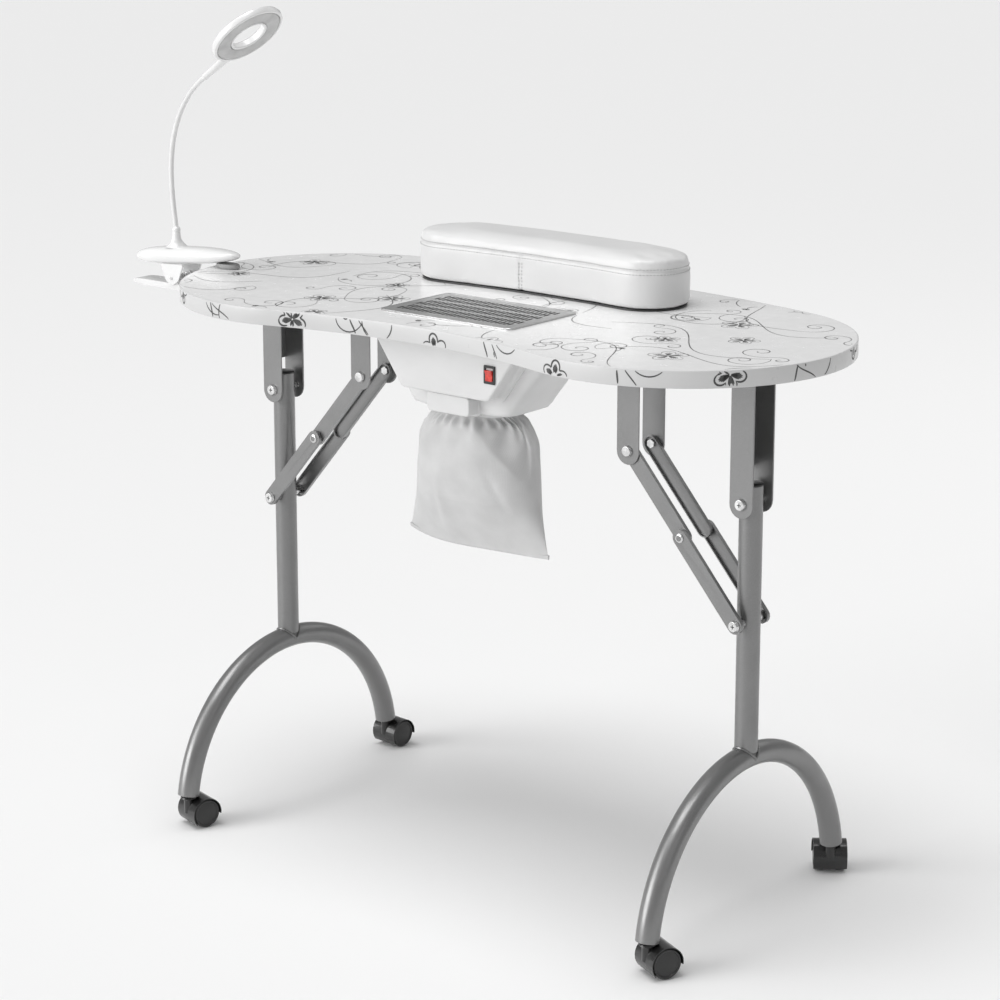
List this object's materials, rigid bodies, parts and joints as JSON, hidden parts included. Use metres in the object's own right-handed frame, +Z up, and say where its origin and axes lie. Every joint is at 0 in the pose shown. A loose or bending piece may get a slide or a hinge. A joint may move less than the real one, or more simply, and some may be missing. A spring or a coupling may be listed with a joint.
{
  "type": "manicure table",
  "caption": "Kidney-shaped portable manicure table on folding arched legs with swivel castors, built-in dust collector and bag, arm cushion and clip-on ring lamp.",
  "frame": {"origin": "on the floor, at the middle of the whole object's bounding box in X and Y", "axes": "+X along the tabletop to the user's right, +Y from the user's side to the back edge with the cushion, +Z up"},
  "size_m": [1.0794, 0.4434, 1.0518],
  "materials": {
    "white_laminate": "glossy white laminated board with a thin grey scroll pattern",
    "edge_band": "light grey PVC edge band with the same pattern",
    "silver_paint": "metallic silver-grey powder coat, satin",
    "bright_zinc": "bright zinc-plated steel",
    "grille_silver": "brushed silver pressed metal",
    "white_plastic": "off-white moulded plastic",
    "black_plastic": "black moulded plastic",
    "red_rocker": "translucent red rocker",
    "bag_fabric": "white non-woven fabric",
    "white_leather": "white synthetic leather",
    "lamp_plastic": "glossy white plastic",
    "lamp_diffuser": "frosted diffuser, unlit"
  },
  "bodies": {
    "table": {"tabletop": "white_laminate", "edge_band": "edge_band", "vent_grille": "grille_silver", "collector_casing": "white_plastic", "collector_front_panel": "white_plastic", "fan_frame": "black_plastic", "power_inlet": "black_plastic", "switch_bezel": "black_plastic", "dust_bag": "bag_fabric", "clip_upper_jaw": "lamp_plastic", "clip_pin": "bright_zinc", "clip_spring": "bright_zinc", "left_leg_bracket": "silver_paint", "left_brace_bracket": "silver_paint", "right_leg_bracket": "silver_paint", "right_brace_bracket": "silver_paint"},
    "fan": {"fan_impeller": "black_plastic"},
    "switch": {"switch_rocker": "red_rocker"},
    "cushion": {"arm_cushion": "white_leather", "cushion_base": "black_plastic"},
    "clip_jaw": {"clip_lower_jaw": "lamp_plastic"},
    "lamp_arm": {"lamp_gooseneck": "lamp_plastic"},
    "lamp_ring": {"lamp_head": "lamp_plastic", "lamp_diffuser": "lamp_diffuser"},
    "left_leg": {"left_column": "silver_paint", "left_foot_arch": "silver_paint", "left_column_cap": "black_plastic", "left_pivot_bolt": "bright_zinc", "left_brace_bolt": "bright_zinc"},
    "left_upper_brace": {"left_front_upper_brace": "silver_paint", "left_front_bracket_bolt": "bright_zinc", "left_rear_upper_brace": "silver_paint", "left_rear_bracket_bolt": "bright_zinc"},
    "left_lower_brace": {"left_front_lower_brace": "silver_paint", "left_rear_lower_brace": "silver_paint"},
    "front_left_castor": {"front_left_castor_hood": "black_plastic"},
    "front_left_castor_left_wheel": {"front_left_castor_left_wheel": "black_plastic"},
    "front_left_castor_right_wheel": {"front_left_castor_right_wheel": "black_plastic"},
    "back_left_castor": {"back_left_castor_hood": "black_plastic"},
    "back_left_castor_left_wheel": {"back_left_castor_left_wheel": "black_plastic"},
    "back_left_castor_right_wheel": {"back_left_castor_right_wheel": "black_plastic"},
    "right_leg": {"right_column": "silver_paint", "right_foot_arch": "silver_paint", "right_column_cap": "black_plastic", "right_pivot_bolt": "bright_zinc", "right_brace_bolt": "bright_zinc"},
    "right_upper_brace": {"right_front_upper_brace": "silver_paint", "right_front_bracket_bolt": "bright_zinc", "right_rear_upper_brace": "silver_paint", "right_rear_bracket_bolt": "bright_zinc"},
    "right_lower_brace": {"right_front_lower_brace": "silver_paint", "right_rear_lower_brace": "silver_paint"},
    "front_right_castor": {"front_right_castor_hood": "black_plastic"},
    "front_right_castor_left_wheel": {"front_right_castor_left_wheel": "black_plastic"},
    "front_right_castor_right_wheel": {"front_right_castor_right_wheel": "black_plastic"},
    "back_right_castor": {"back_right_castor_hood": "black_plastic"},
    "back_right_castor_left_wheel": {"back_right_castor_left_wheel": "black_plastic"},
    "back_right_castor_right_wheel": {"back_right_castor_right_wheel": "black_plastic"}
  },
  "joints": [
    {"name": "left_leg_fold", "type": "hinge", "parent": "table", "child": "left_leg", "pos_m": [-0.29817, -0.01411, 0.552], "axis": [0, -1, 0], "range_deg": [0, 90], "deforming": ["dust_bag"]},
    {"name": "left_upper_brace_fold", "type": "hinge", "parent": "table", "child": "left_upper_brace", "pos_m": [-0.14017, -0.01411, 0.592], "axis": [0, -1, 0], "range_deg": [-58.8, 0]},
    {"name": "left_lower_brace_fold", "type": "hinge", "parent": "left_leg", "child": "left_lower_brace", "pos_m": [-0.29817, -0.01411, 0.4084], "axis": [0, -1, 0], "range_deg": [0, 10.8]},
    {"name": "front_left_castor_swivel", "type": "hinge", "parent": "left_leg", "child": "front_left_castor", "pos_m": [-0.29817, -0.20803, 0.04], "axis": [0, 0, 1], "continuous": true},
    {"name": "front_left_castor_left_wheel_spin", "type": "hinge", "parent": "front_left_castor", "child": "front_left_castor_left_wheel", "pos_m": [-0.30706, -0.18908, 0.019], "axis": [0.9659, -0.2588, 0], "continuous": true},
    {"name": "front_left_castor_right_wheel_spin", "type": "hinge", "parent": "front_left_castor", "child": "front_left_castor_right_wheel", "pos_m": [-0.28098, -0.19607, 0.019], "axis": [0.9659, -0.2588, 0], "continuous": true},
    {"name": "back_left_castor_swivel", "type": "hinge", "parent": "left_leg", "child": "back_left_castor", "pos_m": [-0.29817, 0.17981, 0.04], "axis": [0, 0, 1], "continuous": true},
    {"name": "back_left_castor_left_wheel_spin", "type": "hinge", "parent": "back_left_castor", "child": "back_left_castor_left_wheel", "pos_m": [-0.31022, 0.19692, 0.019], "axis": [0.9962, -0.0872, 0], "continuous": true},
    {"name": "back_left_castor_right_wheel_spin", "type": "hinge", "parent": "back_left_castor", "child": "back_left_castor_right_wheel", "pos_m": [-0.28332, 0.19457, 0.019], "axis": [0.9962, -0.0872, 0], "continuous": true},
    {"name": "right_leg_fold", "type": "hinge", "parent": "table", "child": "right_leg", "pos_m": [0.43783, -0.01411, 0.521], "axis": [0, 1, 0], "range_deg": [0, 90], "deforming": ["dust_bag"]},
    {"name": "right_upper_brace_fold", "type": "hinge", "parent": "table", "child": "right_upper_brace", "pos_m": [0.27984, -0.01411, 0.561], "axis": [0, 1, 0], "range_deg": [-58.8, 0]},
    {"name": "right_lower_brace_fold", "type": "hinge", "parent": "right_leg", "child": "right_lower_brace", "pos_m": [0.43783, -0.01411, 0.3774], "axis": [0, 1, 0], "range_deg": [0, 10.8]},
    {"name": "front_right_castor_swivel", "type": "hinge", "parent": "right_leg", "child": "front_right_castor", "pos_m": [0.43783, -0.20803, 0.04], "axis": [0, 0, 1], "continuous": true},
    {"name": "front_right_castor_left_wheel_spin", "type": "hinge", "parent": "front_right_castor", "child": "front_right_castor_left_wheel", "pos_m": [0.43236, -0.18782, 0.019], "axis": [0.9063, -0.4226, 0], "continuous": true},
    {"name": "front_right_castor_right_wheel_spin", "type": "hinge", "parent": "front_right_castor", "child": "front_right_castor_right_wheel", "pos_m": [0.45683, -0.19923, 0.019], "axis": [0.9063, -0.4226, 0], "continuous": true},
    {"name": "back_right_castor_swivel", "type": "hinge", "parent": "right_leg", "child": "back_right_castor", "pos_m": [0.43783, 0.17981, 0.04], "axis": [0, 0, 1], "continuous": true},
    {"name": "back_right_castor_left_wheel_spin", "type": "hinge", "parent": "back_right_castor", "child": "back_right_castor_left_wheel", "pos_m": [0.41742, 0.18446, 0.019], "axis": [0.7986, 0.6018, 0], "continuous": true},
    {"name": "back_right_castor_right_wheel_spin", "type": "hinge", "parent": "back_right_castor", "child": "back_right_castor_right_wheel", "pos_m": [0.43899, 0.20071, 0.019], "axis": [0.7986, 0.6018, 0], "continuous": true},
    {"name": "fan_spin", "type": "hinge", "parent": "table", "child": "fan", "pos_m": [0.06983, -0.06111, 0.67], "axis": [0, 0, 1], "continuous": true},
    {"name": "switch_rock", "type": "hinge", "parent": "table", "child": "switch", "pos_m": [0.14083, -0.12211, 0.648], "axis": [1, 0, 0], "range_deg": [-16, 0]},
    {"name": "cushion_lift", "type": "slide", "parent": "table", "child": "cushion", "axis": [0, 0, 1], "range_m": [0, 0.15]},
    {"name": "clip_jaw_open", "type": "hinge", "parent": "table", "child": "clip_jaw", "pos_m": [-0.45816, -0.03911, 0.684], "axis": [0, 1, 0], "range_deg": [0, 12], "stiffness_Nm_per_rad": 1, "springref_deg": -17.19},
    {"name": "lamp_arm_bend", "type": "hinge", "parent": "table", "child": "lamp_arm", "pos_m": [-0.46516, -0.03911, 0.746], "axis": [0, 1, 0], "range_deg": [-25, 25]},
    {"name": "lamp_head_tilt", "type": "hinge", "parent": "lamp_arm", "child": "lamp_ring", "pos_m": [-0.40416, -0.03911, 0.953], "axis": [0, 1, 0], "range_deg": [-35, 35]}
  ],
  "couplings": [
    {"joint": "left_upper_brace_fold", "follows": "left_leg_fold", "ratio": -0.6533},
    {"joint": "left_lower_brace_fold", "follows": "left_leg_fold", "ratio": 0.12},
    {"joint": "right_upper_brace_fold", "follows": "right_leg_fold", "ratio": -0.6533},
    {"joint": "right_lower_brace_fold", "follows": "right_leg_fold", "ratio": 0.12}
  ]
}
